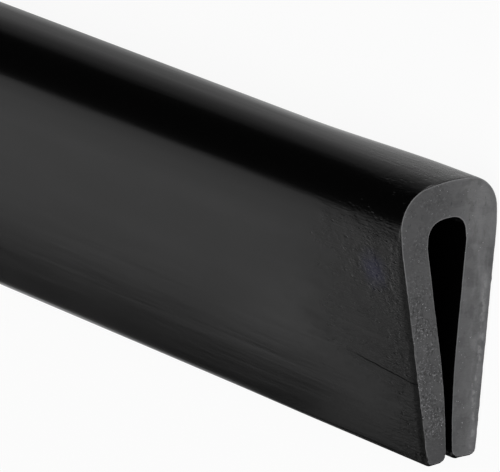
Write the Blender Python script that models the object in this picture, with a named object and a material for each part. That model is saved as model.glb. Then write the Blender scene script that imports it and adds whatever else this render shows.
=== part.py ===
"""A length of push-on edge trim: one black rubber extrusion with a rounded head and two legs.

The section is drawn upright, mouth down: x across it from the near leg to the far one, y up.
The strip is too narrow to stand on its lips, so it lies along X on its far flank, crown at +Y.
The origin is under the middle of the strip. Sizes are in millimetres until the mesh is made.
"""

from math import acos, atan2, ceil, cos, hypot, pi, radians, sin, sqrt, tan

import bmesh
import bpy
from mathutils import Matrix, Vector

MM = 0.001

# Driving sizes of the strip
LENGTH = 304.8
HEIGHT = 15.0
WIDTH = 6.2

# Outside of the section
CROWN_RADIUS = 10.0
SHOULDER_RADIUS = 1.9
CHEEK_RADIUS = 20.0
FOOT_WIDTH = 3.2
LIP_RADIUS = 0.38

# Inside of the section
CROWN_THICKNESS = 1.95
NEAR_WALL = 1.70
FAR_WALL = 2.03
MOUTH_GAP = 0.35
LIP_BEND_RADIUS = 40.0

# How far the flats of a curve may cut inside it
CURVE_TOLERANCE = 0.002

# Two points closer than this are one point
SAME_POINT = 0.0001

RUBBER_COLOUR = (0.018, 0.018, 0.019, 1.0)
RUBBER_ROUGHNESS = 0.42
SMOOTH_BELOW = radians(30)


def arc(centre, radius, start, end):
    """Points along a circle from one angle to another, both ends included."""
    step = 2 * acos(1 - CURVE_TOLERANCE / radius)
    count = max(2, ceil(abs(end - start) / step))
    angles = [start + (end - start) * i / count for i in range(count + 1)]
    return [centre + radius * Vector((cos(a), sin(a))) for a in angles]


def chain(*runs):
    """Runs of points joined end to end, with one point where two runs meet."""
    points = []
    for point in (p for run in runs for p in run):
        if not points or (point - points[-1]).length > SAME_POINT:
            points.append(point)
    return points


def mirrored(points):
    """The same run on the other side of the middle, in the opposite order."""
    return [Vector((-p.x, p.y)) for p in reversed(points)]


def shoulder_centre():
    """Centre of the shoulder, which touches the crown's arc and the full width."""
    across = WIDTH / 2 - SHOULDER_RADIUS
    drop = sqrt((CROWN_RADIUS - SHOULDER_RADIUS) ** 2 - across**2)
    return Vector((across, HEIGHT - CROWN_RADIUS + drop))


def leg_lean():
    """Angle of the straight flank, which runs from the foot's corner to touch the cheek."""
    across = FOOT_WIDTH / 2 - (WIDTH / 2 - CHEEK_RADIUS)
    up = shoulder_centre().y
    return atan2(up, across) - acos(CHEEK_RADIUS / hypot(across, up))


def outside():
    """Right half of the outside, from under the lip to the middle of the crown."""
    lean = leg_lean()
    shoulder = shoulder_centre()
    crown = Vector((0.0, HEIGHT - CROWN_RADIUS))
    cheek = Vector((WIDTH / 2 - CHEEK_RADIUS, shoulder.y))
    lip_across = FOOT_WIDTH / 2 + LIP_RADIUS * (tan(lean) - 1 / cos(lean))
    lip = Vector((lip_across, LIP_RADIUS))
    meet = atan2(shoulder.y - crown.y, shoulder.x)
    return chain(
        arc(lip, LIP_RADIUS, -pi / 2, -lean),
        arc(cheek, CHEEK_RADIUS, -lean, 0.0),
        arc(shoulder, SHOULDER_RADIUS, 0.0, meet),
        arc(crown, CROWN_RADIUS, meet, pi / 2),
    )


def inside():
    """Right half of the slot about its own middle, from its arch down to under the lip."""
    lean = leg_lean()
    wall_across = (NEAR_WALL + FAR_WALL) / (2 * cos(lean))
    face_at_floor = FOOT_WIDTH / 2 - wall_across

    arch_top = HEIGHT - CROWN_THICKNESS
    arch_radius = (face_at_floor * cos(lean) + arch_top * sin(lean)) / (1 + sin(lean))
    arch = Vector((0.0, arch_top - arch_radius))

    bend_start = MOUTH_GAP / 2 + LIP_BEND_RADIUS * (1 - cos(lean))
    bend_height = (bend_start - face_at_floor) / tan(lean) - LIP_BEND_RADIUS * sin(lean)
    bend = Vector((MOUTH_GAP / 2 + LIP_BEND_RADIUS, bend_height))

    lip = Vector((MOUTH_GAP / 2 + LIP_RADIUS, LIP_RADIUS))
    return chain(
        arc(arch, arch_radius, pi / 2, -lean),
        arc(bend, LIP_BEND_RADIUS, pi - lean, pi),
        arc(lip, LIP_RADIUS, pi, 3 * pi / 2),
    )


def section():
    """The whole outline, anticlockwise, with the slot set off towards the thinner wall."""
    slot_middle = Vector(((NEAR_WALL - FAR_WALL) / (2 * cos(leg_lean())), 0.0))
    outer = outside()
    slot = inside()
    return chain(
        outer,
        mirrored(outer),
        [p + slot_middle for p in mirrored(slot)],
        [p + slot_middle for p in slot],
    )


def laid_down(points):
    """The outline turned so that its straight far flank lies level, with its middle at x = 0."""
    lean = leg_lean()
    turn = Matrix(((sin(lean), cos(lean)), (-cos(lean), sin(lean))))
    turned = [turn @ p for p in points]
    middle = (min(p.x for p in turned) + max(p.x for p in turned)) / 2
    floor = min(p.y for p in turned)
    return [p - Vector((middle, floor)) for p in turned]


def rubber():
    material = bpy.data.materials.new("Black dense rubber")
    material.use_nodes = True
    shader = material.node_tree.nodes["Principled BSDF"]
    shader.inputs["Base Color"].default_value = RUBBER_COLOUR
    shader.inputs["Roughness"].default_value = RUBBER_ROUGHNESS
    shader.inputs["Metallic"].default_value = 0.0
    return material


def edge_trim():
    """The strip: its section extruded along the whole length and cut square at both ends."""
    mesh = bpy.data.meshes.new("edge_trim")
    bm = bmesh.new()
    start = -LENGTH / 2 * MM
    ring = [bm.verts.new((start, p.x * MM, p.y * MM)) for p in laid_down(section())]
    end_face = bm.faces.new(ring)
    extruded = bmesh.ops.extrude_face_region(bm, geom=[end_face])["geom"]
    moved = [item for item in extruded if isinstance(item, bmesh.types.BMVert)]
    bmesh.ops.translate(bm, verts=moved, vec=(LENGTH * MM, 0.0, 0.0))
    bmesh.ops.recalc_face_normals(bm, faces=bm.faces)
    bm.to_mesh(mesh)
    bm.free()
    mesh.shade_smooth()
    mesh.set_sharp_from_angle(angle=SMOOTH_BELOW)
    mesh.materials.append(rubber())
    strip = bpy.data.objects.new("edge_trim", mesh)
    bpy.context.scene.collection.objects.link(strip)
    return strip


for old in list(bpy.data.objects):
    bpy.data.objects.remove(old, do_unlink=True)
edge_trim()
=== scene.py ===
"""The looks of a length of push-on edge trim: black rubber, cut clean at both ends.

The section is drawn upright, mouth down: x across it from the near leg to the far one, y up.
The strip then lies along X on its far flank, crown at +Y, as its solid does.
Sizes are in millimetres, and MM turns them into the scene's metres.
"""

from math import acos, atan2, cos, hypot, pi, radians, sin, sqrt, tan

import bpy
from mathutils import Matrix, Vector


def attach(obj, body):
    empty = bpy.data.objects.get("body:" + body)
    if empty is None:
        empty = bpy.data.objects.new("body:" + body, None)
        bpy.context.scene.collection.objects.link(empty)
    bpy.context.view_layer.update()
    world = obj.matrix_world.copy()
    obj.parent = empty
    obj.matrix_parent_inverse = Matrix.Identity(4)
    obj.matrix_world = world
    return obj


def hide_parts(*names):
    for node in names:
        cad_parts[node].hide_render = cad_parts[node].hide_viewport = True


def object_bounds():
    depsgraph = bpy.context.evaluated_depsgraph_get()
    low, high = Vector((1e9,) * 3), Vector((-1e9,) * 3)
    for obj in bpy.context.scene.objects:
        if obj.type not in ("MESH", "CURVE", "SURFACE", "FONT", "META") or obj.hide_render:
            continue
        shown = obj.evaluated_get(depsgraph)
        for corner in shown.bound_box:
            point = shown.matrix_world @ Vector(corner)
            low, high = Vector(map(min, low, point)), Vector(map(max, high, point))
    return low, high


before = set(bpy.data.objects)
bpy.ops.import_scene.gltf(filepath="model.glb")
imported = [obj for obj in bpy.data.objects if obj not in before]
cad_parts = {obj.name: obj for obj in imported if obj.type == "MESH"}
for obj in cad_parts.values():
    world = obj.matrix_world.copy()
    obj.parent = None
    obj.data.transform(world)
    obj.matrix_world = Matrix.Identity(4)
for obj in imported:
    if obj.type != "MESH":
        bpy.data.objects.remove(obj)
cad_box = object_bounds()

MM = 0.001

# The strip's own sizes, as its solid has them
LENGTH = (cad_box[1].x - cad_box[0].x) / MM
HEIGHT = 15.0
WIDTH = 6.2
CROWN_RADIUS = 10.0
SHOULDER_RADIUS = 1.9
CHEEK_RADIUS = 20.0
FOOT_WIDTH = 3.2
LIP_RADIUS = 0.38
CROWN_THICKNESS = 1.95
NEAR_WALL = 1.70
FAR_WALL = 2.03
MOUTH_GAP = 0.35
LIP_BEND_RADIUS = 40.0

# Away from the cut the head is rounder: the rubber has spread a little where it was cut.
# The near shoulder settles close behind the cut, and the far one takes longer.
RUN_SHOULDER_RADIUS = 2.75
NEAR_SPREAD = (0.0, 0.3)
FAR_SPREAD = (2.5, 13.5)
SIDES_BLEND_OVER = 0.8

# The far lip is a little rounder inside than the near one
FAR_LIP_INNER_RADIUS = 0.45
FAR_LIP_LIFT = 0.03

# The slot's arch is a little squarer than a half circle
NEAR_ARCH_SQUARENESS = 0.08
FAR_ARCH_SQUARENESS = 0.11

# The knife rolls the edge of the cut in, most steeply round the lips and least on the head:
# how far in, and over what reach along the strip
HEAD_ROLL = (0.02, 0.35)
FLANK_ROLL = (0.085, 0.5)
LIP_ROLL = (0.14, 0.26)
HEAD_ROLL_FROM = (10.5, 12.5)
LIP_ROLL_UP_TO = 0.6
LIPS_MOVE_UP_TO = 1.0

# Above the lips the slot's edge is rolled in by this share less than the outside's
SLOT_ROLL_LESS = 0.6

# The rolled edge is ragged: the least share of its roll, and what the noise adds at most
LEAST_ROLL = 0.2
RAGGED_ROLL = 1.6

# Away from the cut the foot of the near flank is rounded a little further up
FOOT_ROUND = 0.06
FOOT_ROUND_HEIGHT = 0.6
FOOT_ROUND_FROM = (9.0, 17.0)

# Fine unevenness of the mesh: how deep it goes, and how many features fit in a metre
EDGE_BREAK = 0.012
KNIFE_WAVES = 0.02
SKIN_WAVES = 0.02
RAGGED_EDGE_SCALE = 5000.0
KNIFE_WAVE_SCALE = 450.0
SKIN_WAVE_SCALES = (120.0, 700.0, 700.0)
NOISE_MIDDLE = 0.5

# The skin's waves calm down behind the cut: to what share, and by what distance
CALM_SHARE = 0.15
CALM_FROM = 14.0

# Points along each stretch of half the section, outside and in the slot
LIP_POINTS = 7
FLANK_POINTS = 40
CHEEK_POINTS = 9
SHOULDER_POINTS = 20
CROWN_POINTS = 8
UPRIGHT_POINTS = 4
BEND_POINTS = 13
FACE_POINTS = 24
ARCH_POINTS = 36

# Places across the wall, from the outside to the slot, where the cut face has points
ACROSS_WALL = (0.0, 0.035, 0.2, 0.5, 0.8, 0.965, 1.0)
WALL_MIDDLE = 0.5

# Stations along the strip, which crowd together towards both cuts
STATIONS = 261
CROWDING = 5.2

# A cut's faces look along the strip by more than this share, and edges sharper than this
# angle stay sharp
CUT_NORMAL_SHARE = 0.93
SHARP_ANGLE = radians(24)

# The photograph's frame, and the camera that fits it, aimed by one point of the cut edge
IMAGE_WIDTH = 500
IMAGE_HEIGHT = 472
SENSOR_WIDTH = 36.0
FOCAL_PIXELS = 7670.0
CAMERA_AZIMUTH = radians(52.88)
CAMERA_ELEVATION = radians(18.54)
CAMERA_ROLL = radians(-0.97)
CAMERA_DISTANCE = 385.05
SEEN_POINT = (0.978, HEIGHT)
SEEN_PIXEL = (464.5, 177.0)


def crown_centre():
    return Vector((0.0, HEIGHT - CROWN_RADIUS))


def cheek_centre():
    """Centre of the cheek, which is level with the shoulder at the cut."""
    across = WIDTH / 2 - SHOULDER_RADIUS
    drop = sqrt((CROWN_RADIUS - SHOULDER_RADIUS) ** 2 - across**2)
    return Vector((WIDTH / 2 - CHEEK_RADIUS, HEIGHT - CROWN_RADIUS + drop))


def shoulder_centre(radius):
    """Centre of a shoulder that touches both the cheek's arc and the crown's."""
    cheek = cheek_centre()
    between = crown_centre() - cheek
    from_cheek = CHEEK_RADIUS - radius
    from_crown = CROWN_RADIUS - radius
    along = (from_cheek**2 - from_crown**2 + between.length**2) / (2 * between.length)
    aside = sqrt(from_cheek**2 - along**2)
    towards = between.normalized()
    return cheek + along * towards + aside * Vector((-towards.y, towards.x))


def leg_lean():
    """Angle of the straight flank, which runs from the foot's corner to touch the cheek."""
    cheek = cheek_centre()
    across = FOOT_WIDTH / 2 - cheek.x
    return atan2(cheek.y, across) - acos(CHEEK_RADIUS / hypot(across, cheek.y))


def arc(centre, radius, start, end, count):
    """Points along a circle, from its first angle up to but not including its last."""
    angles = [start + (end - start) * i / count for i in range(count)]
    return [centre + radius * Vector((cos(a), sin(a))) for a in angles]


def straight(start, end, count):
    """Points along a line, without its last one."""
    return [start.lerp(end, i / count) for i in range(count)]


def outside_half(shoulder_radius):
    """The right half of the outside, from under the lip almost to the middle of the crown."""
    lean = leg_lean()
    side = Vector((cos(lean), -sin(lean)))
    lip = Vector((FOOT_WIDTH / 2 + LIP_RADIUS * (tan(lean) - 1 / cos(lean)), LIP_RADIUS))
    cheek = cheek_centre()
    crown = crown_centre()
    shoulder = shoulder_centre(shoulder_radius)
    leaves_cheek = atan2(shoulder.y - cheek.y, shoulder.x - cheek.x)
    meets_crown = atan2(shoulder.y - crown.y, shoulder.x - crown.x)
    flank_foot = lip + LIP_RADIUS * side
    flank_top = cheek + CHEEK_RADIUS * side
    return [
        *arc(lip, LIP_RADIUS, -pi / 2, -lean, LIP_POINTS),
        *straight(flank_foot, flank_top, FLANK_POINTS),
        *arc(cheek, CHEEK_RADIUS, -lean, leaves_cheek, CHEEK_POINTS),
        *arc(shoulder, shoulder_radius, leaves_cheek, meets_crown, SHOULDER_POINTS),
        *arc(crown, CROWN_RADIUS, meets_crown, pi / 2, CROWN_POINTS),
    ]


def squared(points, centre, share):
    """An arch pushed out by a share of its radius, most of all halfway between side and top."""
    pushed = []
    for point in points:
        out = point - centre
        angle = max(0.0, atan2(out.y, out.x))
        pushed.append(centre + out * (1 + share * sin(2 * angle) ** 2))
    return pushed


def slot_half(lip_radius, lip_lift, squareness):
    """The right half of the slot about its own middle, from under the lip almost to its top."""
    lean = leg_lean()
    wall_across = (NEAR_WALL + FAR_WALL) / (2 * cos(lean))
    face_at_floor = FOOT_WIDTH / 2 - wall_across
    arch_top = HEIGHT - CROWN_THICKNESS
    arch_radius = (face_at_floor * cos(lean) + arch_top * sin(lean)) / (1 + sin(lean))
    arch = Vector((0.0, arch_top - arch_radius))
    bend_start = MOUTH_GAP / 2 + LIP_BEND_RADIUS * (1 - cos(lean))
    bend_height = (bend_start - face_at_floor) / tan(lean) - LIP_BEND_RADIUS * sin(lean)
    bend = Vector((MOUTH_GAP / 2 + LIP_BEND_RADIUS, bend_height))
    lip = Vector((MOUTH_GAP / 2 + lip_radius, lip_lift + lip_radius))
    lip_top = Vector((MOUTH_GAP / 2, lip.y))
    bend_foot = Vector((MOUTH_GAP / 2, bend_height))
    bend_top = bend + LIP_BEND_RADIUS * Vector((-cos(lean), sin(lean)))
    arch_foot = arch + arch_radius * Vector((cos(lean), -sin(lean)))
    return [
        *arc(lip, lip_radius, 3 * pi / 2, pi, LIP_POINTS),
        *straight(lip_top, bend_foot, UPRIGHT_POINTS),
        *arc(bend, LIP_BEND_RADIUS, pi, pi - lean, BEND_POINTS),
        *straight(bend_top, arch_foot, FACE_POINTS),
        *squared(arc(arch, arch_radius, -lean, pi / 2, ARCH_POINTS), arch, squareness),
    ]


def mirrored(points):
    return [Vector((-p.x, p.y)) for p in points]


def outside(shoulder_radius):
    """The whole outside, from under the near lip over the crown to under the far lip."""
    half = outside_half(shoulder_radius)
    top = Vector((0.0, HEIGHT))
    return [*mirrored(half), top, *reversed(half)]


def slot():
    """The whole slot, from under the near lip over the arch to under the far lip."""
    middle = Vector(((NEAR_WALL - FAR_WALL) / (2 * cos(leg_lean())), 0.0))
    near = mirrored(slot_half(LIP_RADIUS, 0.0, NEAR_ARCH_SQUARENESS))
    far = slot_half(FAR_LIP_INNER_RADIUS, FAR_LIP_LIFT, FAR_ARCH_SQUARENESS)
    top = Vector((0.0, HEIGHT - CROWN_THICKNESS))
    return [p + middle for p in [*near, top, *reversed(far)]]


# Directions of the upright strip, and the middle of its foot in the section
ACROSS = Vector((0.0, 1.0, 0.0))
UP = Vector((0.0, 0.0, 1.0))
FOOT = Vector((0.0, 0.0))


class Laying:
    """How the section, drawn upright, is laid on its far flank, with its middle at Y = 0."""

    def __init__(self):
        lean = leg_lean()
        self.turn = Matrix(((sin(lean), cos(lean)), (-cos(lean), sin(lean))))
        turned = [self.turn @ p for p in outside(SHOULDER_RADIUS)]
        middle = (min(p.x for p in turned) + max(p.x for p in turned)) / 2
        self.corner = Vector((middle, min(p.y for p in turned)))

    def place(self, point):
        """Where a point of the section lies, as a vector in the plane of the cut."""
        laid = self.turn @ point - self.corner
        return Vector((0.0, laid.x, laid.y))

    def direction(self, vector):
        """Which way a direction of the upright strip points once the strip is laid."""
        laid = self.turn @ Vector((vector.y, vector.z))
        return Vector((vector.x, laid.x, laid.y))


laying = Laying()


def add_camera():
    """The camera that sees the cut and the near flank as the photograph does."""
    back = Vector((
        sin(CAMERA_AZIMUTH) * cos(CAMERA_ELEVATION),
        -cos(CAMERA_AZIMUTH) * cos(CAMERA_ELEVATION),
        sin(CAMERA_ELEVATION),
    ))
    level = Vector((cos(CAMERA_AZIMUTH), sin(CAMERA_AZIMUTH), 0.0))
    upright = back.cross(level)
    right = level * cos(CAMERA_ROLL) + upright * sin(CAMERA_ROLL)
    up = upright * cos(CAMERA_ROLL) - level * sin(CAMERA_ROLL)
    right, up, back = (laying.direction(v) for v in (right, up, back))
    across = (SEEN_PIXEL[0] - IMAGE_WIDTH / 2) / FOCAL_PIXELS
    down = (SEEN_PIXEL[1] - IMAGE_HEIGHT / 2) / FOCAL_PIXELS
    ray = across * right - down * up - back
    seen = laying.place(Vector(SEEN_POINT)) + Vector((LENGTH / 2, 0.0, 0.0))
    data = bpy.data.cameras.new("Camera")
    data.sensor_width = SENSOR_WIDTH
    data.lens = FOCAL_PIXELS * SENSOR_WIDTH / IMAGE_WIDTH
    camera = bpy.data.objects.new("Camera", data)
    camera.matrix_world = Matrix.Translation((seen - CAMERA_DISTANCE * ray) * MM) @ Matrix(
        (right, up, back)
    ).transposed().to_4x4()
    bpy.context.scene.collection.objects.link(camera)
    bpy.context.scene.camera = camera


def add_node(tree, kind, inputs=None, **settings):
    """A node with its settings. An input is linked where a socket is given, and else set."""
    made = tree.nodes.new(kind)
    for name, value in settings.items():
        setattr(made, name, value)
    for name, value in (inputs or {}).items():
        if isinstance(value, bpy.types.NodeSocket):
            tree.links.new(value, made.inputs[name])
        else:
            made.inputs[name].default_value = value
    return made


def calculate(tree, operation, *values, clamp=False):
    """The output of one Math node."""
    made = add_node(tree, "ShaderNodeMath", dict(enumerate(values)), operation=operation)
    made.use_clamp = clamp
    return made.outputs[0]


def product(tree, *values):
    """All the values multiplied together, one after another."""
    result = values[0]
    for value in values[1:]:
        result = calculate(tree, "MULTIPLY", result, value)
    return result


def vector_calculate(tree, operation, first, second, output="Vector"):
    """An output of one Vector Math node."""
    inputs = {0: first, "Scale" if operation == "SCALE" else 1: second}
    made = add_node(tree, "ShaderNodeVectorMath", inputs, operation=operation)
    return made.outputs[output]


def vector_of(tree, **parts):
    """A vector from its X, Y and Z, of which those left out are 0."""
    return add_node(tree, "ShaderNodeCombineXYZ", parts).outputs[0]


def parts_of(tree, vector):
    """The X, Y and Z of a vector."""
    return add_node(tree, "ShaderNodeSeparateXYZ", {0: vector}).outputs


def smooth_step(tree, value, start, end, low=0.0, high=1.0):
    """Rises smoothly from low to high while the value goes from start to end."""
    made = add_node(
        tree,
        "ShaderNodeMapRange",
        {"Value": value, "From Min": start, "From Max": end, "To Min": low, "To Max": high},
        interpolation_type="SMOOTHSTEP",
    )
    return made.outputs[0]


def noise(tree, position, scale):
    """Noise from 0 to 1, whose scale is how many features fit in a unit of length."""
    inputs = {"Vector": position, "Scale": scale, "Detail": 2.0}
    return add_node(tree, "ShaderNodeTexNoise", inputs).outputs[0]


def named_attribute(tree, name, kind):
    made = add_node(tree, "GeometryNodeInputNamedAttribute", {"Name": name}, data_type=kind)
    return made.outputs["Attribute"]


def ease(value, start, end):
    """Rises smoothly from 0 to 1 while the value goes from start to end."""
    share = min(1.0, max(0.0, (value - start) / (end - start)))
    return share * share * (3.0 - 2.0 * share)


def ways_out(places, heights):
    """The way out of the rubber at each point of the cut face, which come rung by rung."""
    across = len(ACROSS_WALL)
    rungs = len(places) // across
    loop = [
        *(row * across for row in range(rungs)),
        *((rungs - 1) * across + n for n in range(1, across)),
        *(row * across + across - 1 for row in range(rungs - 2, -1, -1)),
        *range(across - 2, 0, -1),
    ]
    outward = [Vector() for _ in places]
    for before, here, after in zip(loop[-1:] + loop[:-1], loop, loop[1:] + loop[:1]):
        along = places[after] - places[before]
        outward[here] = Vector((0.0, -along.z, along.y)).normalized()

    # The points inside the wall go with the edge that they are nearest to
    down = laying.direction(-UP)
    for row in range(1, rungs - 1):
        first = row * across
        last = first + across - 1
        for n, t in zip(range(first + 1, last), ACROSS_WALL[1:-1]):
            aside = outward[first] * max(0.0, 1 - 2 * t) + outward[last] * max(0.0, 2 * t - 1)
            moved = aside + down * max(0.0, 1 - heights[n] / LIPS_MOVE_UP_TO)
            outward[n] = moved / max(1.0, moved.length)
    return outward


def section_mesh():
    """The cut face as a mesh of rungs across the wall, with what the sweep needs to know.

    place is where a point lies in the section at the cut. near_draw, far_draw and foot_draw
    are how far the two shoulders and the near foot draw in away from the cut. outward is the
    way out of the rubber along its outline, roll and reach are how far the knife rolls the edge
    in and from where, from_edge is the distance to the outline, and in_slot goes across the
    wall from 0 outside to 1 in the slot.
    """
    upright = outside(SHOULDER_RADIUS)
    upright_slot = slot()
    cut = [laying.place(p) for p in upright]
    run = [laying.place(p) for p in outside(RUN_SHOULDER_RADIUS)]
    inner = [laying.place(p) for p in upright_slot]
    into_flank = laying.direction(Vector((0.0, cos(leg_lean()), sin(leg_lean()))))
    places, near_draws, far_draws, foot_draws = [], [], [], []
    rolls, reaches, heights, from_edge, in_slot = [], [], [], [], []
    for u, s, c, r, i in zip(upright, upright_slot, cut, run, inner):
        far = ease(u.x, -SIDES_BLEND_OVER, SIDES_BLEND_OVER)
        over_lip = ease(u.y, 0.0, LIP_ROLL_UP_TO)
        roll = Vector(LIP_ROLL).lerp(Vector(FLANK_ROLL), over_lip)
        roll = roll.lerp(Vector(HEAD_ROLL), ease(u.y, *HEAD_ROLL_FROM))
        low = max(0.0, 1.0 - u.y / FOOT_ROUND_HEIGHT) if u.x < 0.0 else 0.0
        places.extend(c.lerp(i, t) for t in ACROSS_WALL)
        near_draws.extend((r - c) * (1 - t) * (1 - far) for t in ACROSS_WALL)
        far_draws.extend((r - c) * (1 - t) * far for t in ACROSS_WALL)
        foot_draws.extend(into_flank * FOOT_ROUND * low**2 * (1 - t) for t in ACROSS_WALL)
        rolls.extend(roll[0] * (1 - SLOT_ROLL_LESS * t * over_lip) for t in ACROSS_WALL)
        reaches.extend(roll[1] for _ in ACROSS_WALL)
        row_heights = [u.lerp(s, t).y for t in ACROSS_WALL]
        wall = (c - i).length
        heights.extend(row_heights)
        from_edge.extend(
            min(wall * min(t, 1 - t), max(h, 0.0)) for t, h in zip(ACROSS_WALL, row_heights)
        )
        in_slot.extend(ACROSS_WALL)

    across = len(ACROSS_WALL)
    faces = [
        (n, n + 1, n + across + 1, n + across)
        for row in range(len(cut) - 1)
        for n in range(row * across, row * across + across - 1)
    ]
    mesh = bpy.data.meshes.new("edge_trim_strip")
    mesh.from_pydata([(p.y * MM, p.z * MM, 0.0) for p in places], [], faces)
    for name, vectors, unit in (
        ("place", places, MM),
        ("near_draw", near_draws, MM),
        ("far_draw", far_draws, MM),
        ("foot_draw", foot_draws, MM),
        ("outward", ways_out(places, heights), 1.0),
    ):
        attribute = mesh.attributes.new(name, "FLOAT_VECTOR", "POINT")
        attribute.data.foreach_set("vector", [x * unit for v in vectors for x in v])
    for name, values, unit in (
        ("roll", rolls, MM),
        ("reach", reaches, MM),
        ("from_edge", from_edge, MM),
        ("in_slot", in_slot, 1.0),
    ):
        attribute = mesh.attributes.new(name, "FLOAT", "POINT")
        attribute.data.foreach_set("value", [x * unit for x in values])
    return mesh


def new_tree(name, kind, inputs, outputs):
    """An empty node group with its sockets, and its input and output nodes."""
    tree = bpy.data.node_groups.new(name, kind)
    for in_out, sockets in (("INPUT", inputs), ("OUTPUT", outputs)):
        for socket_name, data in sockets:
            socket_type = f"NodeSocket{data}"
            tree.interface.new_socket(socket_name, in_out=in_out, socket_type=socket_type)
    return tree, tree.nodes.new("NodeGroupInput").outputs, tree.nodes.new("NodeGroupOutput").inputs


def grow(piece, tree, values):
    """Runs a tree of Geometry Nodes once and keeps what it makes as the piece's plain mesh."""
    modifier = piece.modifiers.new(tree.name, "NODES")
    modifier.node_group = tree
    for item in tree.interface.items_tree:
        if item.in_out == "INPUT" and item.name in values:
            modifier[item.identifier] = values[item.name]
    depsgraph = bpy.context.evaluated_depsgraph_get()
    mesh = bpy.data.meshes.new_from_object(piece.evaluated_get(depsgraph), depsgraph=depsgraph)
    piece.modifiers.remove(modifier)
    piece.data = mesh


def station_line(tree, given):
    """A curve along the strip whose points crowd together towards both cuts."""
    index = add_node(tree, "GeometryNodeInputIndex").outputs[0]
    last = calculate(tree, "SUBTRACT", given["Stations"], 1.0)
    share = calculate(tree, "DIVIDE", index, last)
    from_middle = calculate(tree, "MULTIPLY_ADD", share, 2.0, -1.0)
    inward = calculate(tree, "SUBTRACT", 1.0, calculate(tree, "ABSOLUTE", from_middle))
    grown = calculate(tree, "EXPONENT", product(tree, inward, given["Crowding"]))
    whole = calculate(tree, "EXPONENT", given["Crowding"])
    reach = calculate(
        tree,
        "DIVIDE",
        calculate(tree, "SUBTRACT", grown, 1.0),
        calculate(tree, "SUBTRACT", whole, 1.0),
    )
    half = product(tree, given["Length"], 0.5)
    left = calculate(tree, "SUBTRACT", 1.0, reach)
    along = product(tree, half, left, calculate(tree, "SIGN", from_middle))
    line = add_node(tree, "GeometryNodeMeshLine", {"Count": given["Stations"]})
    spaced = add_node(
        tree,
        "GeometryNodeSetPosition",
        {"Geometry": line.outputs[0], "Position": vector_of(tree, X=along)},
    )
    return add_node(tree, "GeometryNodeMeshToCurve", {"Mesh": spaced.outputs[0]}).outputs[0]


def swept_skin(tree, given):
    """The outline of the section carried along the strip, looking outwards."""
    neighbours = add_node(tree, "GeometryNodeInputMeshEdgeNeighbors").outputs[0]
    is_rim = add_node(
        tree,
        "FunctionNodeCompare",
        {2: neighbours, 3: 1},
        data_type="INT",
        operation="EQUAL",
    ).outputs[0]
    outline = add_node(
        tree, "GeometryNodeMeshToCurve", {"Mesh": given["Section"], "Selection": is_rim}
    )
    swept = add_node(
        tree,
        "GeometryNodeCurveToMesh",
        {"Curve": station_line(tree, given), "Profile Curve": outline.outputs[0]},
    )
    return add_node(tree, "GeometryNodeFlipFaces", {"Mesh": swept.outputs[0]}).outputs[0]


def cut_face(tree, given, side):
    """The section as the face at one end of the strip, looking outwards."""
    half = product(tree, given["Length"], 0.5 * side)
    placed = add_node(
        tree,
        "GeometryNodeSetPosition",
        {"Geometry": given["Section"], "Position": vector_of(tree, X=half)},
    ).outputs[0]
    if side < 0:
        placed = add_node(tree, "GeometryNodeFlipFaces", {"Mesh": placed}).outputs[0]
    return placed


def faces_a_cut(tree):
    """Which faces look along the strip, as those of the two cuts do."""
    normal = add_node(tree, "GeometryNodeInputNormal").outputs[0]
    share = calculate(tree, "ABSOLUTE", parts_of(tree, normal)["X"])
    return calculate(tree, "GREATER_THAN", share, CUT_NORMAL_SHARE)


# What draws in away from the cut: its name, its attribute, and from where to where it does
DRAWN_IN = (
    ("Near Spread", "near_draw", NEAR_SPREAD),
    ("Far Spread", "far_draw", FAR_SPREAD),
    ("Foot Round", "foot_draw", FOOT_ROUND_FROM),
)

STRIP_INPUTS = (
    ("Section", "Geometry"),
    ("Length", "Float"),
    ("Stations", "Int"),
    ("Crowding", "Float"),
    *((f"{form} {end}", "Float") for form, _, _ in DRAWN_IN for end in ("Start", "End")),
    ("Edge Break", "Float"),
    ("Knife Waves", "Float"),
    ("Skin Waves", "Float"),
    ("Skin", "Material"),
    ("Cut Face", "Material"),
)

# In metres: how close a point at the cut is to it, and how close two points are to be one
AT_THE_CUT = 0.000001
WELD = 0.0000005

# What only the sweep needs to know, and the finished mesh doesn't
SWEEP_ATTRIBUTES = ("place", "near_draw", "far_draw", "foot_draw", "outward", "roll", "reach")


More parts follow.
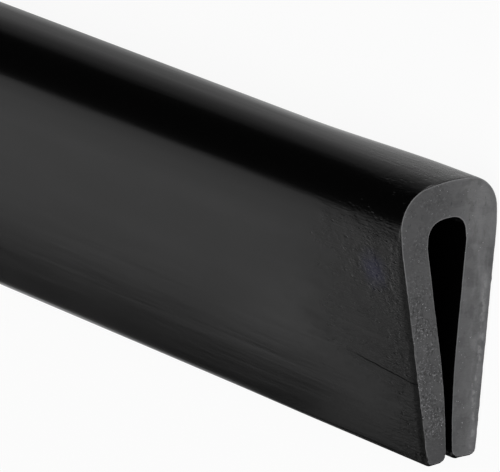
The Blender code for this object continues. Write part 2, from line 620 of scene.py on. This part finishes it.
def strip_tree():
    """Sweeps the section along the strip, closes both ends and shapes what the knife moved."""
    tree, given, made = new_tree(
        "Cut length of trim", "GeometryNodeTree", STRIP_INPUTS, [("Strip", "Geometry")]
    )
    joined = add_node(tree, "GeometryNodeJoinGeometry")
    parts = (swept_skin(tree, given), cut_face(tree, given, 1), cut_face(tree, given, -1))
    for part in parts:
        tree.links.new(part, joined.inputs[0])

    position = add_node(tree, "GeometryNodeInputPosition").outputs[0]
    along = parts_of(tree, position)["X"]
    place = parts_of(tree, named_attribute(tree, "place", "FLOAT_VECTOR"))
    whole = vector_of(tree, X=along, Y=place["Y"], Z=place["Z"])
    in_place = add_node(
        tree, "GeometryNodeSetPosition", {"Geometry": joined.outputs[0], "Position": whole}
    )
    welded = add_node(
        tree,
        "GeometryNodeMergeByDistance",
        {"Geometry": in_place.outputs[0], "Distance": WELD},
    )

    half = product(tree, given["Length"], 0.5)
    depth = calculate(tree, "SUBTRACT", half, calculate(tree, "ABSOLUTE", along))
    moved = (0.0, 0.0, 0.0)
    for form, name, _ in DRAWN_IN:
        share = smooth_step(tree, depth, given[f"{form} Start"], given[f"{form} End"])
        draw = named_attribute(tree, name, "FLOAT_VECTOR")
        drawn = vector_calculate(tree, "SCALE", draw, share)
        moved = vector_calculate(tree, "ADD", drawn, moved)

    outward = named_attribute(tree, "outward", "FLOAT_VECTOR")
    reach = named_attribute(tree, "reach", "FLOAT")
    gone = calculate(tree, "DIVIDE", depth, reach, clamp=True)
    left = calculate(tree, "SUBTRACT", 1.0, gone)
    ragged = noise(tree, position, RAGGED_EDGE_SCALE)
    ragged = calculate(tree, "MULTIPLY_ADD", ragged, RAGGED_ROLL, LEAST_ROLL)
    roll = product(tree, named_attribute(tree, "roll", "FLOAT"), ragged)
    rolled = product(tree, calculate(tree, "POWER", left, 2.0), roll)
    stretched = vector_calculate(tree, "MULTIPLY", position, SKIN_WAVE_SCALES)
    wave = calculate(tree, "SUBTRACT", noise(tree, stretched, 1.0), NOISE_MIDDLE)
    calming = smooth_step(tree, depth, 0.0, CALM_FROM * MM, 1.0, CALM_SHARE)
    lift = product(tree, wave, given["Skin Waves"], calming)
    outwards = calculate(tree, "SUBTRACT", lift, rolled)
    moved = vector_calculate(
        tree, "ADD", moved, vector_calculate(tree, "SCALE", outward, outwards)
    )

    on_cut = calculate(tree, "LESS_THAN", depth, AT_THE_CUT)
    on_rim = calculate(
        tree, "LESS_THAN", named_attribute(tree, "from_edge", "FLOAT"), AT_THE_CUT
    )
    knife = noise(tree, position, KNIFE_WAVE_SCALE)
    knife = calculate(tree, "SUBTRACT", knife, NOISE_MIDDLE)
    pushed = product(tree, knife, given["Knife Waves"])
    broken = product(tree, on_rim, given["Edge Break"])
    back = calculate(tree, "SUBTRACT", pushed, broken)
    back = product(tree, on_cut, back, calculate(tree, "SIGN", along))
    moved = vector_calculate(tree, "ADD", moved, vector_of(tree, X=back))
    shaped = add_node(
        tree, "GeometryNodeSetPosition", {"Geometry": welded.outputs[0], "Offset": moved}
    )
    real = add_node(tree, "GeometryNodeRealizeInstances", {"Geometry": shaped.outputs[0]})
    skinned = add_node(
        tree,
        "GeometryNodeSetMaterial",
        {"Geometry": real.outputs[0], "Material": given["Skin"]},
    )
    finished = add_node(
        tree,
        "GeometryNodeSetMaterial",
        {
            "Geometry": skinned.outputs[0],
            "Selection": faces_a_cut(tree),
            "Material": given["Cut Face"],
        },
    )
    tree.links.new(finished.outputs[0], made[0])
    return tree


def edge_trim_strip(skin, cut):
    """The whole strip as one piece, which stands for its solid."""
    piece = bpy.data.objects.new("edge_trim_strip", section_mesh())
    bpy.context.scene.collection.objects.link(piece)
    drawn_in = {}
    for form, _, (start, end) in DRAWN_IN:
        drawn_in |= {f"{form} Start": start * MM, f"{form} End": end * MM}
    grow(
        piece,
        strip_tree(),
        {
            "Length": LENGTH * MM,
            "Stations": STATIONS,
            "Crowding": CROWDING,
            **drawn_in,
            "Edge Break": EDGE_BREAK * MM,
            "Knife Waves": KNIFE_WAVES * MM,
            "Skin Waves": SKIN_WAVES * MM,
            "Skin": skin,
            "Cut Face": cut,
        },
    )
    for name in SWEEP_ATTRIBUTES:
        piece.data.attributes.remove(piece.data.attributes[name])
    piece.data.shade_smooth()
    piece.data.set_sharp_from_angle(angle=SHARP_ANGLE)
    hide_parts("edge_trim")
    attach(piece, "root")
    return piece


CRUMB_INPUTS = (
    ("Strip", "Geometry"),
    ("Across", "Vector"),
    ("Across at Middle", "Float"),
    ("Up", "Vector"),
    ("Up at Foot", "Float"),
    ("Near Leg Share", "Float"),
    ("Crumbs per Area", "Float"),
    ("Crumb Radius", "Float"),
    ("Seed", "Int"),
    ("Crumb", "Material"),
)

# Crumbs: how many there are at most to a square millimetre, what share of them only the near
# leg has, their radius, and how far each is stretched at least and at most
CRUMBS_PER_AREA = 30.0
NEAR_LEG_SHARE = 0.9
CRUMB_RADIUS = 0.028
LEAST_STRETCH = (0.3, 0.25, 0.2)
MOST_STRETCH = (1.9, 0.7, 0.6)
CRUMB_SEED = 7
CRUMB_CLUSTER_SCALE = 1100.0
NO_TURN = (0.0, 0.0, 0.0)
FULL_TURN = (2 * pi, 2 * pi, 2 * pi)


def random_vector(tree, least, most, seed):
    made = add_node(
        tree,
        "FunctionNodeRandomValue",
        {0: least, 1: most, "Seed": seed},
        data_type="FLOAT_VECTOR",
    )
    return made.outputs[0]


def crumbs_tree():
    """Scatters crumbs in clusters over both cut faces, most of them on the near leg."""
    tree, given, made = new_tree(
        "Crumbs on the cuts", "GeometryNodeTree", CRUMB_INPUTS, [("Crumbs", "Geometry")]
    )
    position = add_node(tree, "GeometryNodeInputPosition").outputs[0]
    across = vector_calculate(tree, "DOT_PRODUCT", position, given["Across"], "Value")
    across = calculate(tree, "SUBTRACT", across, given["Across at Middle"])
    near_leg = smooth_step(tree, across, -0.6 * MM, 0.5 * MM, 1.0, 0.0)
    up = vector_calculate(tree, "DOT_PRODUCT", position, given["Up"], "Value")
    up = calculate(tree, "SUBTRACT", up, given["Up at Foot"])
    over_foot = smooth_step(tree, up, 1.4 * MM, 2.2 * MM, 0.1, 1.0)
    under_head = smooth_step(tree, up, 7.0 * MM, 10.0 * MM, 1.0, 0.3)
    near_leg = product(tree, near_leg, over_foot, under_head)
    rest = calculate(tree, "SUBTRACT", 1.0, given["Near Leg Share"])
    leg_share = calculate(tree, "MULTIPLY_ADD", near_leg, given["Near Leg Share"], rest)
    clusters = noise(tree, position, CRUMB_CLUSTER_SCALE)
    clustered = smooth_step(tree, clusters, 0.44, 0.6, 0.05, 1.0)
    spread = add_node(
        tree,
        "GeometryNodeDistributePointsOnFaces",
        {
            "Mesh": given["Strip"],
            "Selection": faces_a_cut(tree),
            "Density": product(tree, clustered, leg_share, given["Crumbs per Area"]),
            "Seed": given["Seed"],
        },
    )

    crumb = add_node(
        tree, "GeometryNodeMeshIcoSphere", {"Radius": given["Crumb Radius"], "Subdivisions": 1}
    )
    placed = add_node(
        tree,
        "GeometryNodeInstanceOnPoints",
        {
            "Points": spread.outputs["Points"],
            "Instance": crumb.outputs["Mesh"],
            "Rotation": random_vector(tree, NO_TURN, FULL_TURN, given["Seed"]),
            "Scale": random_vector(tree, LEAST_STRETCH, MOST_STRETCH, given["Seed"]),
        },
    )
    real = add_node(tree, "GeometryNodeRealizeInstances", {"Geometry": placed.outputs[0]})
    finished = add_node(
        tree,
        "GeometryNodeSetMaterial",
        {"Geometry": real.outputs[0], "Material": given["Crumb"]},
    )
    tree.links.new(finished.outputs[0], made[0])
    return tree


def cut_crumbs(strip, crumb):
    """The fine crumbs that the knife left on both cut faces, as one piece."""
    piece = bpy.data.objects.new("cut_crumbs", strip.data.copy())
    bpy.context.scene.collection.objects.link(piece)
    across = laying.direction(ACROSS)
    up = laying.direction(UP)
    middle_foot = laying.place(FOOT) * MM
    grow(
        piece,
        crumbs_tree(),
        {
            "Across": across,
            "Across at Middle": across.dot(middle_foot),
            "Up": up,
            "Up at Foot": up.dot(middle_foot),
            "Near Leg Share": NEAR_LEG_SHARE,
            "Crumbs per Area": CRUMBS_PER_AREA / MM**2,
            "Crumb Radius": CRUMB_RADIUS * MM,
            "Seed": CRUMB_SEED,
            "Crumb": crumb,
        },
    )
    piece.data.shade_smooth()
    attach(piece, "root")


def new_material(name, specular):
    """A material with its Principled shader, its tree and its own coordinates in millimetres."""
    material = bpy.data.materials.new(name)
    material.use_nodes = True
    tree = material.node_tree
    shader = tree.nodes["Principled BSDF"]
    shader.inputs["Specular IOR Level"].default_value = specular
    coordinates = add_node(tree, "ShaderNodeTexCoord").outputs["Object"]
    in_mm = vector_calculate(tree, "SCALE", coordinates, 1 / MM)
    return material, tree, shader, in_mm


def rubber_grain_group():
    """Soft relief from 0 to 1, with its own length and breadth in millimetres."""
    tree, given, made = new_tree(
        "Rubber grain",
        "ShaderNodeTree",
        [("Position", "Vector"), ("Grain Size", "Vector")],
        [("Height", "Float")],
    )
    scaled = vector_calculate(tree, "DIVIDE", given["Position"], given["Grain Size"])
    relief = add_node(
        tree,
        "ShaderNodeTexNoise",
        {"Vector": scaled, "Scale": 1.0, "Detail": 3.0, "Roughness": 0.6},
    )
    tree.links.new(relief.outputs[0], made["Height"])
    return tree


def specks_group():
    """Scattered spots of uneven size: 1 on a spot, 0 off it."""
    tree, given, made = new_tree(
        "Specks",
        "ShaderNodeTree",
        [
            ("Position", "Vector"),
            ("Spacing", "Vector"),
            ("Share", "Float"),
            ("Radius", "Float"),
        ],
        [("Mask", "Float")],
    )
    scaled = vector_calculate(tree, "DIVIDE", given["Position"], given["Spacing"])
    cells = add_node(tree, "ShaderNodeTexVoronoi", {"Vector": scaled, "Scale": 1.0})
    draws = add_node(tree, "ShaderNodeSeparateColor", {0: cells.outputs["Color"]})
    chosen = calculate(tree, "LESS_THAN", draws.outputs[0], given["Share"])
    size = calculate(tree, "MULTIPLY_ADD", draws.outputs[1], 0.7, 0.5)
    radius = product(tree, given["Radius"], size)
    inner = product(tree, radius, 0.5)
    spot = smooth_step(tree, cells.outputs["Distance"], inner, radius, 1.0, 0.0)
    tree.links.new(product(tree, chosen, spot), made["Mask"])
    return tree


def grain(tree, in_mm, *size):
    """Grain of one size in millimetres all round, or of one along each axis."""
    made = add_node(
        tree,
        "ShaderNodeGroup",
        {"Position": in_mm, "Grain Size": size if len(size) == 3 else size * 3},
        node_tree=shared_groups["grain"],
    )
    return made.outputs["Height"]


def specks(tree, in_mm, spacing, share, radius):
    """Specks with a spacing in millimetres, the share that shows and a radius in spacings."""
    made = add_node(
        tree,
        "ShaderNodeGroup",
        {"Position": in_mm, "Spacing": spacing, "Share": share, "Radius": radius},
        node_tree=shared_groups["specks"],
    )
    return made.outputs["Mask"]


def surface_value(tree, name):
    """A number that the mesh keeps for each of its points."""
    return add_node(tree, "ShaderNodeAttribute", attribute_name=name).outputs["Fac"]


def section_coordinate(tree, in_mm, axis):
    """A coordinate of the upright section, in millimetres, at any point of the laid strip."""
    direction = laying.direction(axis)
    along = vector_calculate(tree, "DOT_PRODUCT", in_mm, tuple(direction), "Value")
    return calculate(tree, "SUBTRACT", along, direction.dot(laying.place(FOOT)))


def mixed_colour(tree, share, first, second):
    """A colour between two, each given as a colour or as a socket."""
    inputs = {0: share, 6: first, 7: second}
    return add_node(tree, "ShaderNodeMix", inputs, data_type="RGBA").outputs[2]


def grey(tone, blue=0.0):
    return (tone, tone, tone + blue, 1.0)


def add_relief(tree, shader, *layers):
    """Bumps one on another, each from a height and its depth in millimetres."""
    normal = None
    for height, depth in layers:
        bump = add_node(tree, "ShaderNodeBump", {"Height": height, "Distance": depth * MM})
        if normal:
            tree.links.new(normal, bump.inputs["Normal"])
        normal = bump.outputs[0]
    tree.links.new(normal, shader.inputs["Normal"])


# The groove beside the shown cut: how high it meets the cut, how it rises and wavers, how far
# it runs, and how wide it is
GROOVE_HEIGHT = 4.55
GROOVE_RISE = 0.09
GROOVE_WAVER = 0.16
GROOVE_LENGTH = 6.0
GROOVE_HALF_WIDTH = 0.09

# A faint bluish smudge on the near flank: its depth behind the cut, its height and its size
SMUDGE_DEPTH = 2.5
SMUDGE_HEIGHT = 10.3
SMUDGE_SIZE = 1.4


def groove_mask(tree, in_mm, along, depth, across, height):
    """1 in the groove that runs slantwise into the shown cut on the near flank."""
    line = calculate(tree, "MULTIPLY_ADD", depth, GROOVE_RISE, GROOVE_HEIGHT)
    line = calculate(tree, "MULTIPLY_ADD", grain(tree, in_mm, 1.2), GROOVE_WAVER, line)
    off = calculate(tree, "ABSOLUTE", calculate(tree, "SUBTRACT", height, line))
    inside = smooth_step(tree, off, 0.2 * GROOVE_HALF_WIDTH, GROOVE_HALF_WIDTH, 1.0, 0.0)
    ends = smooth_step(tree, depth, 0.6 * GROOVE_LENGTH, GROOVE_LENGTH, 1.0, 0.0)
    near_side = calculate(tree, "LESS_THAN", across, 0.0)
    shown_end = calculate(tree, "GREATER_THAN", along, 0.0)
    return product(tree, inside, ends, near_side, shown_end)


def smudge_mask(tree, in_mm, along, across, height):
    """1 in the middle of the smudge on the near flank beside the shown cut, fading out round it."""
    aside = calculate(tree, "SUBTRACT", along, LENGTH / 2 - SMUDGE_DEPTH)
    above = calculate(tree, "SUBTRACT", height, SMUDGE_HEIGHT)
    flat = vector_of(tree, X=aside, Y=above)
    distance = vector_calculate(tree, "LENGTH", flat, (0, 0, 0), "Value")
    ragged = calculate(tree, "ADD", distance, grain(tree, in_mm, 0.4))
    near_side = calculate(tree, "LESS_THAN", across, 0.0)
    fading = smooth_step(tree, ragged, NOISE_MIDDLE, NOISE_MIDDLE + SMUDGE_SIZE, 1.0, 0.0)
    return product(tree, fading, near_side)


# The skin's colours, its roughness, and what the knife's dragging adds to that
SKIN_BLACK = grey(0.0006)
SKIN_MOTTLE = grey(0.0055, 0.0002)
SMUDGE_BLUE = (0.003, 0.003, 0.021, 1.0)
SKIN_ROUGHNESS = 0.22
DRAGGED_ROUGHNESS = 0.12


def skin_material():
    """Smooth black rubber, which the knife has dragged and pitted for a centimetre by each cut."""
    material, tree, shader, in_mm = new_material("Extruded rubber skin", 0.3)
    along = parts_of(tree, in_mm)["X"]
    across = section_coordinate(tree, in_mm, ACROSS)
    height = section_coordinate(tree, in_mm, UP)
    depth = calculate(tree, "SUBTRACT", LENGTH / 2, calculate(tree, "ABSOLUTE", along))

    outer = calculate(tree, "LESS_THAN", surface_value(tree, "in_slot"), WALL_MIDDLE)
    on_flank = smooth_step(tree, height, 12.2, 13.4, 1.0, 0.2)
    by_foot = smooth_step(tree, depth, 0.6, 4.0, 0.55, 0.2)
    above_groove = smooth_step(tree, height, 3.6, 5.2, by_foot, 1.0)
    roughest = product(tree, on_flank, above_groove, outer)

    drift = grain(tree, in_mm, 1.6, 0.9, 0.9)
    ragged_depth = calculate(tree, "MULTIPLY_ADD", drift, 9.0, depth)
    dragged = product(tree, smooth_step(tree, ragged_depth, 4.0, 16.0, 1.0, 0.0), roughest)
    pitted = smooth_step(tree, ragged_depth, 4.5, 15.0, 1.0, 0.0)
    pitted = calculate(tree, "POWER", pitted, 1.7)
    patches = smooth_step(tree, grain(tree, in_mm, 1.3, 0.8, 0.8), 0.40, 0.56, 0.15, 1.0)
    low_down = smooth_step(tree, depth, 0.8, 3.2, 1.0, 0.45)
    higher_up = smooth_step(tree, height, 7.5, 9.5, low_down, 1.15)
    pitted = product(tree, patches, higher_up, pitted, roughest)

    streaks = smooth_step(tree, grain(tree, in_mm, 2.2, 0.10, 0.10), 0.44, 0.64)
    streaks = product(tree, streaks, dragged)
    wrinkles = product(tree, grain(tree, in_mm, 0.26, 0.10, 0.10), pitted)
    pits = product(tree, specks(tree, in_mm, (0.38, 0.16, 0.16), 0.3, 0.42), pitted)
    groove = groove_mask(tree, in_mm, along, depth, across, height)
    sunk = calculate(tree, "SUBTRACT", 0.0, calculate(tree, "MAXIMUM", pits, groove))
    ripples = grain(tree, in_mm, 14.0, 0.9, 0.9)
    on_crown = smooth_step(tree, height, 12.8, 14.2)
    drawn = product(tree, grain(tree, in_mm, 9.0, 0.16, 0.16), on_crown)
    add_relief(
        tree,
        shader,
        (ripples, 0.012),
        (drawn, 0.006),
        (streaks, 0.009),
        (wrinkles, 0.055),
        (sunk, 0.06),
    )

    mottle = smooth_step(tree, grain(tree, in_mm, 5.0, 1.8, 1.8), 0.38, 0.66)
    bands = smooth_step(tree, grain(tree, in_mm, 70.0, 1.3, 1.3), 0.43, 0.58)
    mottle = calculate(tree, "MULTIPLY_ADD", bands, 0.6, product(tree, mottle, 0.5))
    flank_only = smooth_step(tree, height, 10.4, 11.8, 1.0, 0.0)
    paler_inwards = smooth_step(tree, depth, 3.0, 12.0, 0.25, 1.0)
    mottle = product(tree, mottle, paler_inwards, flank_only, outer)
    skin = mixed_colour(tree, mottle, SKIN_BLACK, SKIN_MOTTLE)
    smudge = smudge_mask(tree, in_mm, along, across, height)
    skin = mixed_colour(tree, smudge, skin, SMUDGE_BLUE)
    tree.links.new(skin, shader.inputs["Base Color"])
    rough = calculate(tree, "MULTIPLY_ADD", dragged, DRAGGED_ROUGHNESS, SKIN_ROUGHNESS)
    tree.links.new(rough, shader.inputs["Roughness"])
    return material


# The greys of the cut face, from the darkest to the palest
# The darkest grey is painted shade in the hollows of the crinkles
HOLLOW_SHADE_GREY = grey(0.025)
SCUFF_GREY = grey(0.045, 0.002)
BLOTCH_GREY = grey(0.066, 0.002)
NEAR_LEG_GREY = grey(0.090, 0.002)
FAR_LEG_GREY = grey(0.122, 0.003)
FAR_HEAD_GREY = grey(0.150, 0.002)
CLOUD_GREY = grey(0.185, 0.004)
DUST_GREY = grey(0.24, 0.01)
SMEAR_GREY = grey(0.25, 0.005)
# The palest grey is a painted highlight along the rim of the cut
RIM_HIGHLIGHT_GREY = grey(0.26, 0.005)

# Where the near leg's look ends across the section, and where the lips' look ends upwards
NEAR_LEG_END = (-0.6, 0.4)
LIPS_END = (1.2, 2.0)

# How far in from the outline the painted highlight along the rim is strongest, and how far in it
# ends
RIM_HIGHLIGHT_WIDTH = (0.02, 0.08)


def cut_material():
    """Matt grey where the knife went through: blotched, scuffed and dusty, with a painted highlight
    along its rim.
    """
    material, tree, shader, in_mm = new_material("Knife-cut rubber", 0.2)
    across = section_coordinate(tree, in_mm, ACROSS)
    height = section_coordinate(tree, in_mm, UP)
    wander = grain(tree, in_mm, 1.6)
    side = calculate(tree, "MULTIPLY_ADD", wander, 2.0, across)
    high = smooth_step(tree, height, 10.0, 12.5)

    far_head = product(tree, high, smooth_step(tree, side, 1.6, 2.6))
    blotches = smooth_step(tree, grain(tree, in_mm, 1.1), 0.5, 0.58)
    low = smooth_step(tree, height, *LIPS_END, 0.7, 0.0)
    near_lip = product(tree, low, smooth_step(tree, across, *NEAR_LEG_END, 1.0, 0.0))
    scuffs = smooth_step(tree, grain(tree, in_mm, 0.5, 0.5, 0.10), 0.62, 0.70)
    clouds = smooth_step(tree, grain(tree, in_mm, 0.9, 1.9, 0.9), 0.44, 0.68)
    cloudy = product(tree, clouds, smooth_step(tree, across, 0.6, 1.6, 0.05, 0.75))

    wavering = calculate(tree, "MULTIPLY_ADD", wander, 0.3, 0.06)
    beside = calculate(tree, "SUBTRACT", surface_value(tree, "in_slot"), wavering)
    smear = product(
        tree,
        smooth_step(tree, calculate(tree, "ABSOLUTE", beside), 0.0, 0.15, 1.0, 0.0),
        smooth_step(tree, across, 0.8, 1.4),
        smooth_step(tree, height, 8.5, 10.5, 1.0, 0.15),
        smooth_step(tree, grain(tree, in_mm, 0.35, 0.5, 0.35), 0.45, 0.58, 0.0, 0.75),
    )

    torn = product(
        tree,
        smooth_step(tree, height, 8.0, 10.5, 1.0, 0.4),
        smooth_step(tree, height, *LIPS_END, 0.15, 1.0),
        smooth_step(tree, across, *NEAR_LEG_END, 1.0, 0.1),
        smooth_step(tree, grain(tree, in_mm, 1.0), 0.40, 0.58),
    )
    crinkles = grain(tree, in_mm, 0.13)
    dust = smooth_step(tree, crinkles, 0.56, 0.66)
    # Painted shade: darker where the crinkled relief is low
    hollow_shade = smooth_step(tree, crinkles, 0.38, 0.46, 1.0, 0.0)
    spots = specks(tree, in_mm, (0.22, 0.22, 0.22), 0.06, 0.3)

    # A painted highlight along the cut's rim, where the rolled edge catches the light, strongest
    # higher up
    strongest = smooth_step(tree, height, 8.5, 11.0, 0.3, 0.62)
    from_edge = surface_value(tree, "from_edge")
    rim_highlight = smooth_step(tree, from_edge, *(width * MM for width in RIM_HIGHLIGHT_WIDTH), strongest, 0.0)
    rim_highlight = product(tree, rim_highlight, calculate(tree, "MULTIPLY_ADD", wander, 1.6, 0.1))

    tone = NEAR_LEG_GREY
    for share, layer in (
        (smooth_step(tree, side, 0.1, 2.3), FAR_LEG_GREY),
        (far_head, FAR_HEAD_GREY),
        (product(tree, blotches, 0.35), BLOTCH_GREY),
        (near_lip, BLOTCH_GREY),
        (product(tree, high, 0.7, scuffs), SCUFF_GREY),
        (cloudy, CLOUD_GREY),
        (smear, SMEAR_GREY),
        (product(tree, dust, torn, 0.75), DUST_GREY),
        (product(tree, hollow_shade, torn, 0.7), HOLLOW_SHADE_GREY),
        (product(tree, spots, 0.6), DUST_GREY),
        (rim_highlight, RIM_HIGHLIGHT_GREY),
    ):
        tone = mixed_colour(tree, share, tone, layer)
    tree.links.new(tone, shader.inputs["Base Color"])

    fine = grain(tree, in_mm, 0.10)
    tears = grain(tree, in_mm, 0.5, 0.16, 0.5)
    crinkled = product(tree, crinkles, torn)
    add_relief(tree, shader, (tears, 0.05), (fine, 0.012), (crinkled, 0.12))
    shader.inputs["Roughness"].default_value = 0.8
    return material


# The greys between which the dust on the crumbs varies
CRUMB_GREY = grey(0.10, 0.003)
DUSTY_CRUMB_GREY = grey(0.75, 0.02)


def crumb_material():
    """Fine crumbs of the same rubber, pale with dust."""
    material, tree, shader, in_mm = new_material("Dusty rubber crumbs", 0.3)
    tone = mixed_colour(tree, grain(tree, in_mm, 0.2), CRUMB_GREY, DUSTY_CRUMB_GREY)
    tree.links.new(tone, shader.inputs["Base Color"])
    add_relief(tree, shader, (grain(tree, in_mm, 0.02), 0.01))
    shader.inputs["Roughness"].default_value = 0.75
    return material


# The floor: its size and its drop below the strip in metres, its own grey, and how white the
# camera sees it
FLOOR_SIZE = 40.0
FLOOR_DROP = 0.00002
FLOOR_GREY = grey(0.8)
WHITE = grey(1.0)
WHITE_SHARE = 0.93

# How bright the gloss mirrors the floor a millimetre beside the strip, how that fades with
# the distance in millimetres, and between which places along the strip it changes
CROWN_GLOW = 0.5
CROWN_GLOW_AT_CUT = 0.71
CROWN_GLOW_FADING = 0.32
CROWN_GLOW_FADING_AT_CUT = 0.47
LIP_GLOW = 1.0
LIP_GLOW_AT_CUT = 0.02
LIP_GLOW_FADING = 0.25
NEAREST_GLOW = 0.8
GLOW_CHANGES = (LENGTH / 2 - 32.0, LENGTH / 2 - 12.0)


def is_ray(tree, kind):
    """1 for rays of one kind, and 0 for others."""
    return add_node(tree, "ShaderNodeLightPath").outputs[f"Is {kind} Ray"]


def mixed_shader(tree, share, first, second):
    return add_node(tree, "ShaderNodeMixShader", {0: share, 1: first, 2: second}).outputs[0]


def floor_glow(tree):
    """How bright the floor glows for glossy rays at each point: a painted glow, brightest beside
    the strip, which the gloss mirrors.
    """
    coordinates = add_node(tree, "ShaderNodeTexCoord").outputs["Object"]
    place = parts_of(tree, vector_calculate(tree, "SCALE", coordinates, 1 / MM))
    along, aside = place["X"], place["Y"]
    reach = (cad_box[1].y - cad_box[0].y) / 2 / MM
    away = calculate(tree, "SUBTRACT", calculate(tree, "ABSOLUTE", aside), reach)
    away = calculate(tree, "MAXIMUM", away, NEAREST_GLOW)
    fading = (-CROWN_GLOW_FADING, -CROWN_GLOW_FADING_AT_CUT)
    crown_side = product(
        tree,
        calculate(tree, "POWER", away, smooth_step(tree, along, *GLOW_CHANGES, *fading)),
        smooth_step(tree, along, *GLOW_CHANGES, CROWN_GLOW, CROWN_GLOW_AT_CUT),
    )
    lip_side = product(
        tree,
        calculate(tree, "POWER", away, -LIP_GLOW_FADING),
        smooth_step(tree, along, *GLOW_CHANGES, LIP_GLOW, LIP_GLOW_AT_CUT),
    )
    on_lip_side = calculate(tree, "LESS_THAN", aside, 0.0)
    difference = calculate(tree, "SUBTRACT", lip_side, crown_side)
    return calculate(tree, "MULTIPLY_ADD", difference, on_lip_side, crown_side)


def add_floor():
    """A pale floor that the camera sees as almost white, with the strip's soft shadow, and a
    painted glow that only the gloss sees.
    """
    bpy.ops.mesh.primitive_plane_add(size=FLOOR_SIZE, location=(0.0, 0.0, -FLOOR_DROP))
    floor = bpy.context.object
    floor.name = "floor"
    material = bpy.data.materials.new("Pale floor")
    material.use_nodes = True
    tree = material.node_tree
    tree.nodes.clear()
    plain = add_node(tree, "ShaderNodeBsdfDiffuse", {"Color": FLOOR_GREY}).outputs[0]
    white = add_node(tree, "ShaderNodeEmission", {"Color": WHITE}).outputs[0]
    glow = add_node(tree, "ShaderNodeEmission", {"Strength": floor_glow(tree)}).outputs[0]
    for_camera = mixed_shader(tree, WHITE_SHARE, plain, white)
    for_gloss = mixed_shader(tree, is_ray(tree, "Glossy"), plain, glow)
    surface = mixed_shader(tree, is_ray(tree, "Camera"), for_gloss, for_camera)
    add_node(tree, "ShaderNodeOutputMaterial", {"Surface": surface})
    floor.data.materials.append(material)


# The fill light from all round, as a share of white
FILL_LIGHT = 0.02


def add_world():
    """White where the camera sees past the floor, and a dim fill light everywhere else."""
    world = bpy.data.worlds.new("Studio")
    bpy.context.scene.world = world
    world.use_nodes = True
    tree = world.node_tree
    tree.nodes.clear()
    strength = calculate(tree, "MAXIMUM", is_ray(tree, "Camera"), FILL_LIGHT)
    background = add_node(
        tree, "ShaderNodeBackground", {"Color": WHITE, "Strength": strength}
    )
    add_node(tree, "ShaderNodeOutputWorld", {"Surface": background.outputs[0]})


# A lamp's power for each square metre of it and each unit of its radiance
LAMP_POWER = 4.0

# Softboxes that look at the middle of the strip: name, place, size and radiance
SOFTBOXES = (
    ("Key softbox", (1.0, 0.0, 1.0), (1.4, 1.4), 2.25),
    ("Lip side softbox", (0.3, -1.1, 0.8), (1.6, 1.2), 0.5),
)

# Upright cards that only the gloss of the near flank mirrors: name, place along the strip,
# height, size and radiance. They stand in one plane, on the lips' side, and look at the strip.
CARD_PLANE = -0.022
BEHIND_STRIP = 0.1
CARDS = (
    ("Flank card", -0.21175, 0.084, (0.6435, 0.133), 0.55),
    ("Low card by the cut", 0.12175, 0.021, (0.0235, 0.007), 0.75),
    ("Dim card by the cut", 0.12175, 0.03325, (0.0235, 0.0175), 0.22),
    ("High card by the cut", 0.12175, 0.09625, (0.0235, 0.1085), 0.55),
    ("Cheek card", -0.03, 0.225, (0.44, 0.149), 0.55),
    ("Lip card", -0.206, 0.0045, (0.628, 0.009), 1.1),
    ("Lip card by the cut", 0.114, 0.0045, (0.012, 0.009), 0.5),
    ("Card beside the cut", 0.129, 0.0145, (0.013, 0.006), 0.26),
)


def add_softbox(name, place, target, size, radiance):
    """A rectangular lamp that looks from its place to its target, both in metres."""
    data = bpy.data.lights.new(name, "AREA")
    data.shape = "RECTANGLE"
    data.size, data.size_y = size
    data.energy = radiance * LAMP_POWER * size[0] * size[1]
    lamp = bpy.data.objects.new(name, data)
    lamp.location = place
    lamp.rotation_mode = "QUATERNION"
    lamp.rotation_quaternion = (Vector(target) - Vector(place)).to_track_quat("-Z", "Y")
    lamp.visible_camera = False
    bpy.context.scene.collection.objects.link(lamp)
    return lamp


def add_lamps():
    """A key light on the cut, a softer one from the lips' side, and the cards."""
    for name, place, size, radiance in SOFTBOXES:
        add_softbox(name, place, (0.0, 0.0, 0.0), size, radiance)
    for name, along, up, size, radiance in CARDS:
        place = (along, CARD_PLANE, up)
        card = add_softbox(name, place, (along, BEHIND_STRIP, up), size, radiance)
        card.visible_diffuse = False


bpy.context.scene.view_settings.view_transform = "Standard"
add_camera()
add_world()
add_floor()
add_lamps()
shared_groups = {"grain": rubber_grain_group(), "specks": specks_group()}
cut_crumbs(edge_trim_strip(skin_material(), cut_material()), crumb_material())
